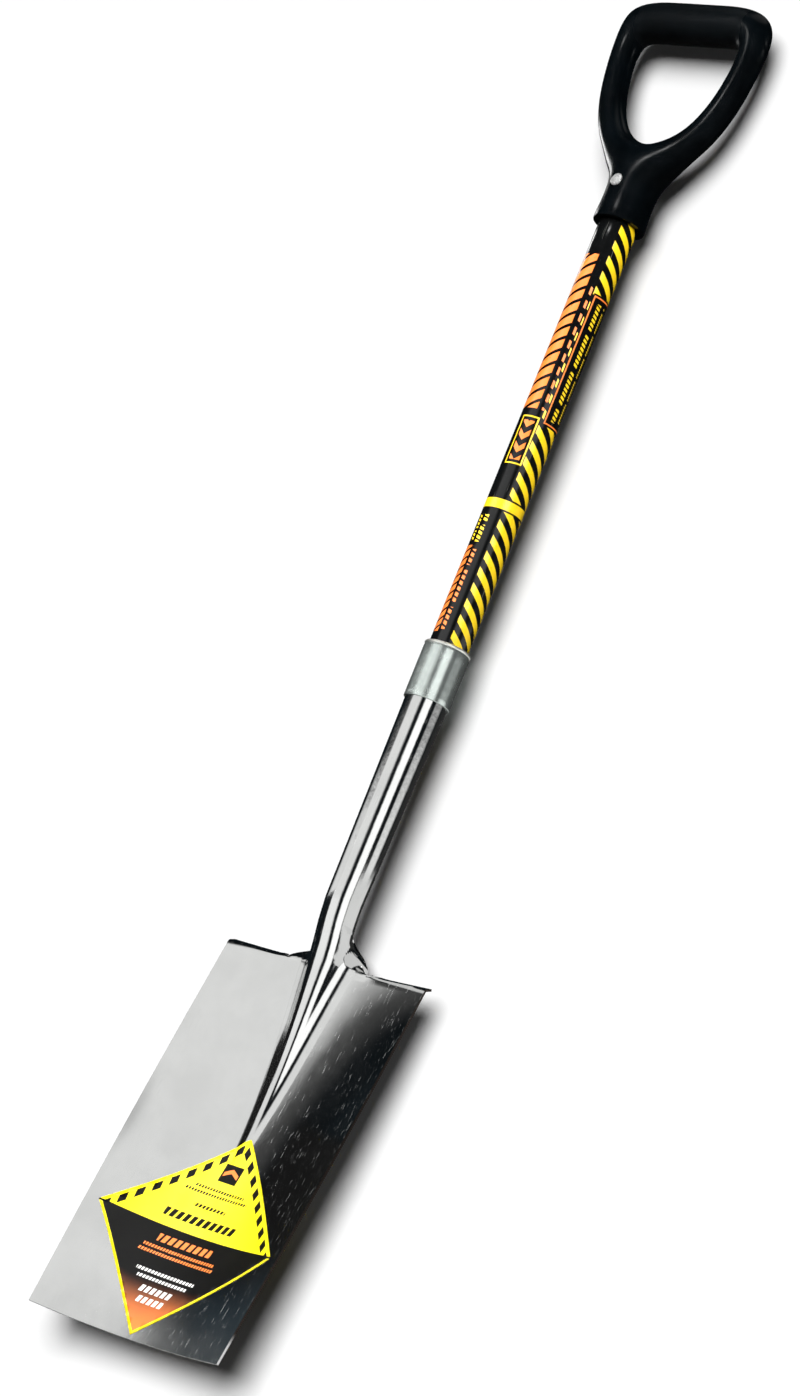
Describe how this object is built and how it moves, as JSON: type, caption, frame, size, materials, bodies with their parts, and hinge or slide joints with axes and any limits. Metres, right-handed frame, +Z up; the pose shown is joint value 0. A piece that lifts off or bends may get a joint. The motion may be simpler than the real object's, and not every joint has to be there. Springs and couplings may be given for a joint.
{
  "type": "spade",
  "caption": "D-handled digging spade: dished pressed-steel blade with ridge, back-turned foot steps and rolled socket, steel collar, round fibreglass shaft and moulded D grip.",
  "frame": {"origin": "underside of the grip's bar, midway along it, where a hook carries the hanging spade", "axes": "+Z up along the handle's axis, the front of the blade faces -Y, +X across the blade, to the right as seen from the front"},
  "size_m": [0.1852, 0.0754, 1.093],
  "materials": {
    "blade_steel": "polished, lightly scratched",
    "label_print": "printed vinyl, semi-gloss",
    "fibreglass": "smooth resin",
    "printed_film": "printed film, semi-gloss",
    "core_resin": "cast resin, dull",
    "plug_wood": "turned, bare",
    "zinc_collar": "zinc plated, satin",
    "black_plastic": "moulded, fine grain on the bar",
    "rivet_steel": "bright plated"
  },
  "bodies": {
    "root": {"blade": "blade_steel", "blade_label": "label_print", "handle_tube": "fibreglass", "handle_wrap": "printed_film", "core_rod": "core_resin", "grip_plug": "plug_wood", "steel_collar": "zinc_collar", "d_grip": "black_plastic", "grip_rivet": "rivet_steel"}
  },
  "joints": []
}
